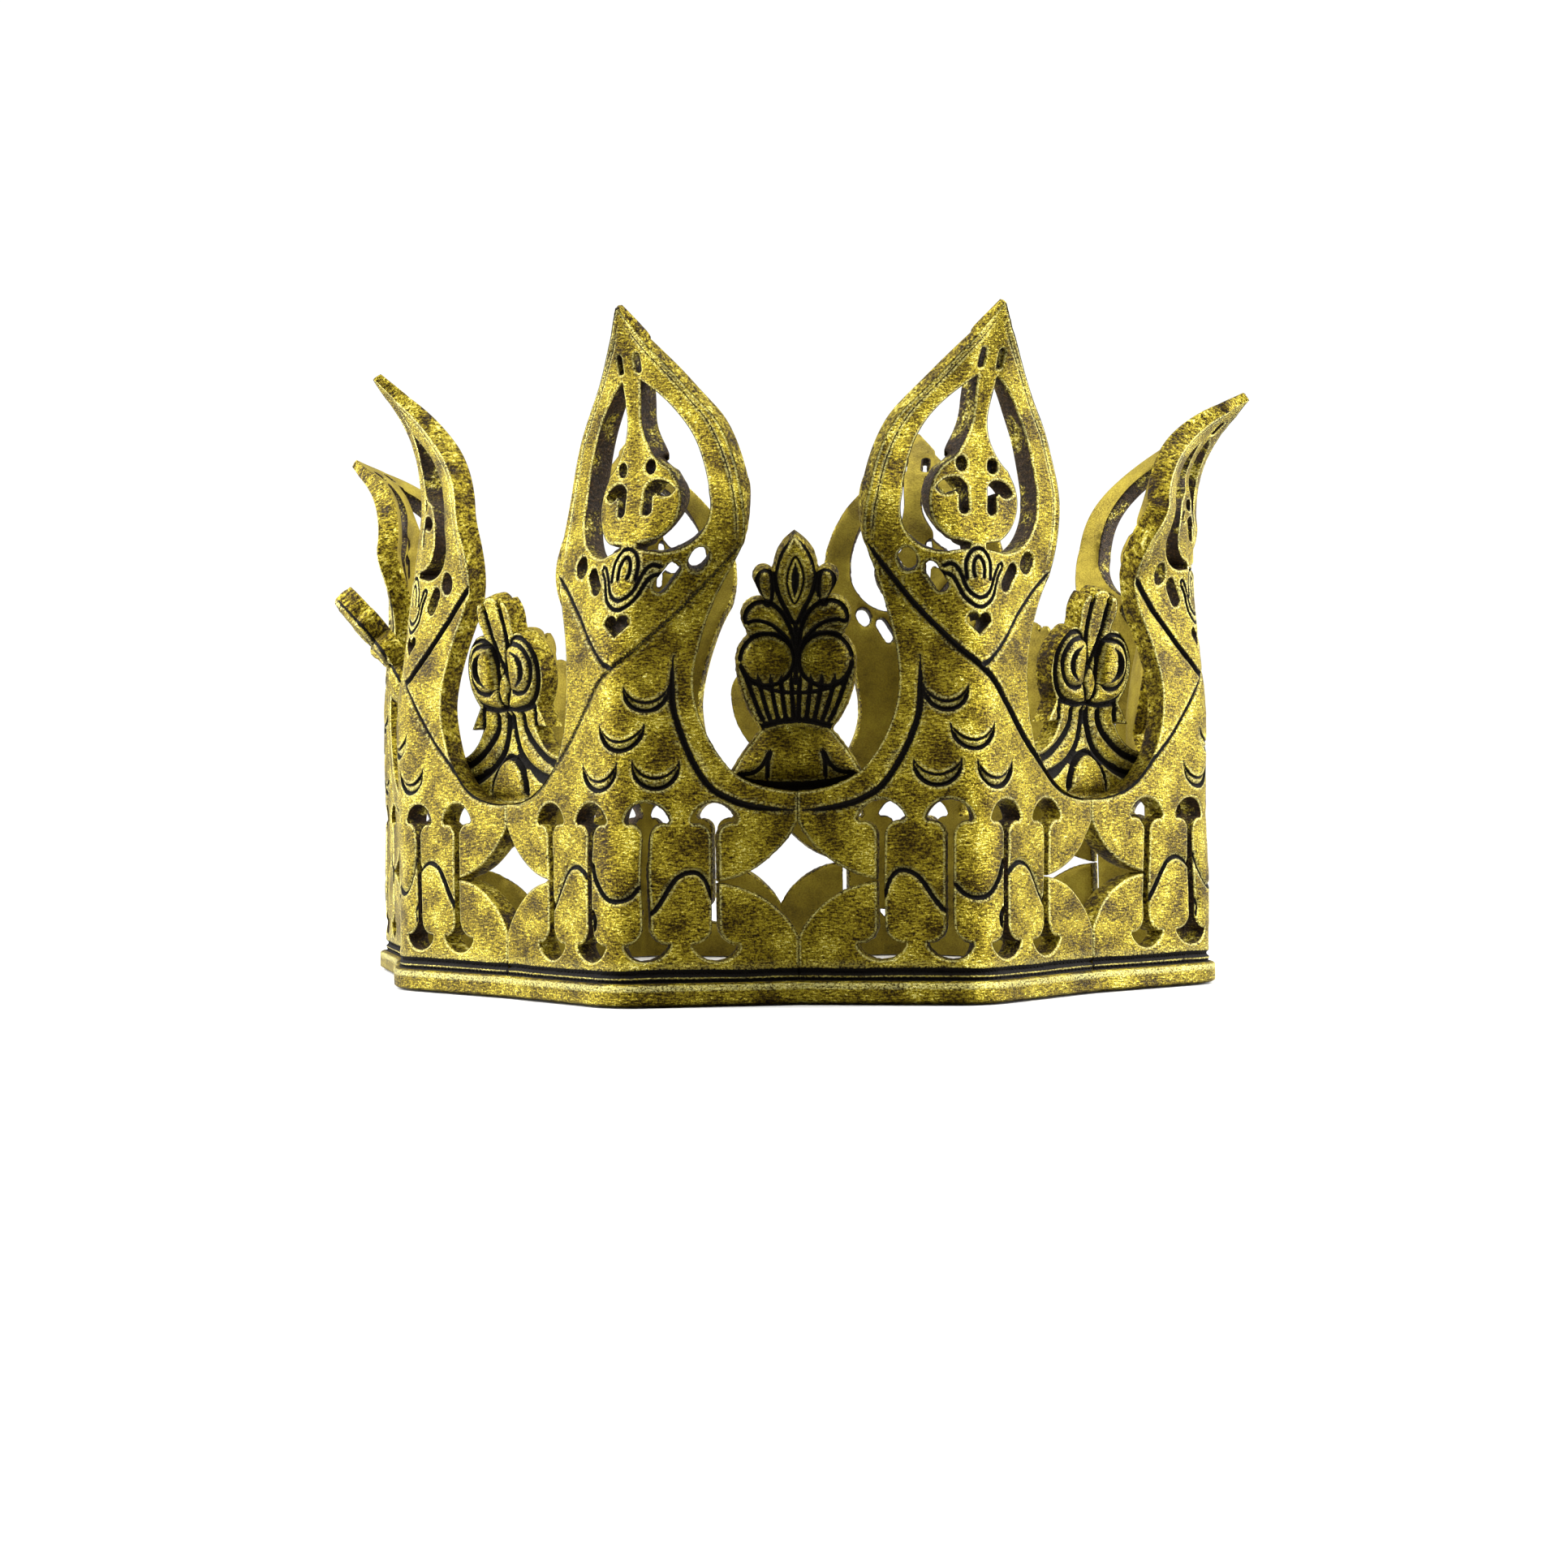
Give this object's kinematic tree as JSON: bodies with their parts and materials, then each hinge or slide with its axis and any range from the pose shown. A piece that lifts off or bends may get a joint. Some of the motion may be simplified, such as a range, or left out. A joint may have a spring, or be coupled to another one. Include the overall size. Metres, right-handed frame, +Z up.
{
  "type": "costume crown",
  "caption": "Carved leather costume crown: a folded ring of tall flame prongs with lotus and scroll finials in the valleys between them, over a half-round base rim.",
  "frame": {"origin": "centre of the crown's bounding box, on the plane of the base", "axes": "+Z up out of the top of the crown, front of the crown (the lotus between the two front prongs) towards -Y, +X to the wearer's left, which is the viewer's right"},
  "size_m": [0.2141, 0.1843, 0.14],
  "materials": {
    "panel_leather": "antique gold paint over tooled leather, dark wash in the carving, brown cut edges, satin",
    "lotus_leather": "antique gold paint over deeply tooled leather, dark wash in the carving, satin",
    "scroll_leather": "antique gold paint over deeply tooled leather, dark wash in the carving, satin",
    "rim_leather": "antique gold paint over a half-round leather strip, darker wash, satin"
  },
  "bodies": {
    "root": {"prong_front_left": "panel_leather", "prong_front_right": "panel_leather", "prong_right_front": "panel_leather", "prong_right_rear": "panel_leather", "prong_rear_right": "panel_leather", "prong_rear_left": "panel_leather", "prong_left_rear": "panel_leather", "prong_left_front": "panel_leather", "lotus_front": "lotus_leather", "lotus_right": "lotus_leather", "lotus_rear": "lotus_leather", "lotus_left": "lotus_leather", "scroll_front_right": "scroll_leather", "scroll_rear_right": "scroll_leather", "scroll_rear_left": "scroll_leather", "scroll_front_left": "scroll_leather", "base_rim": "rim_leather"}
  },
  "joints": []
}
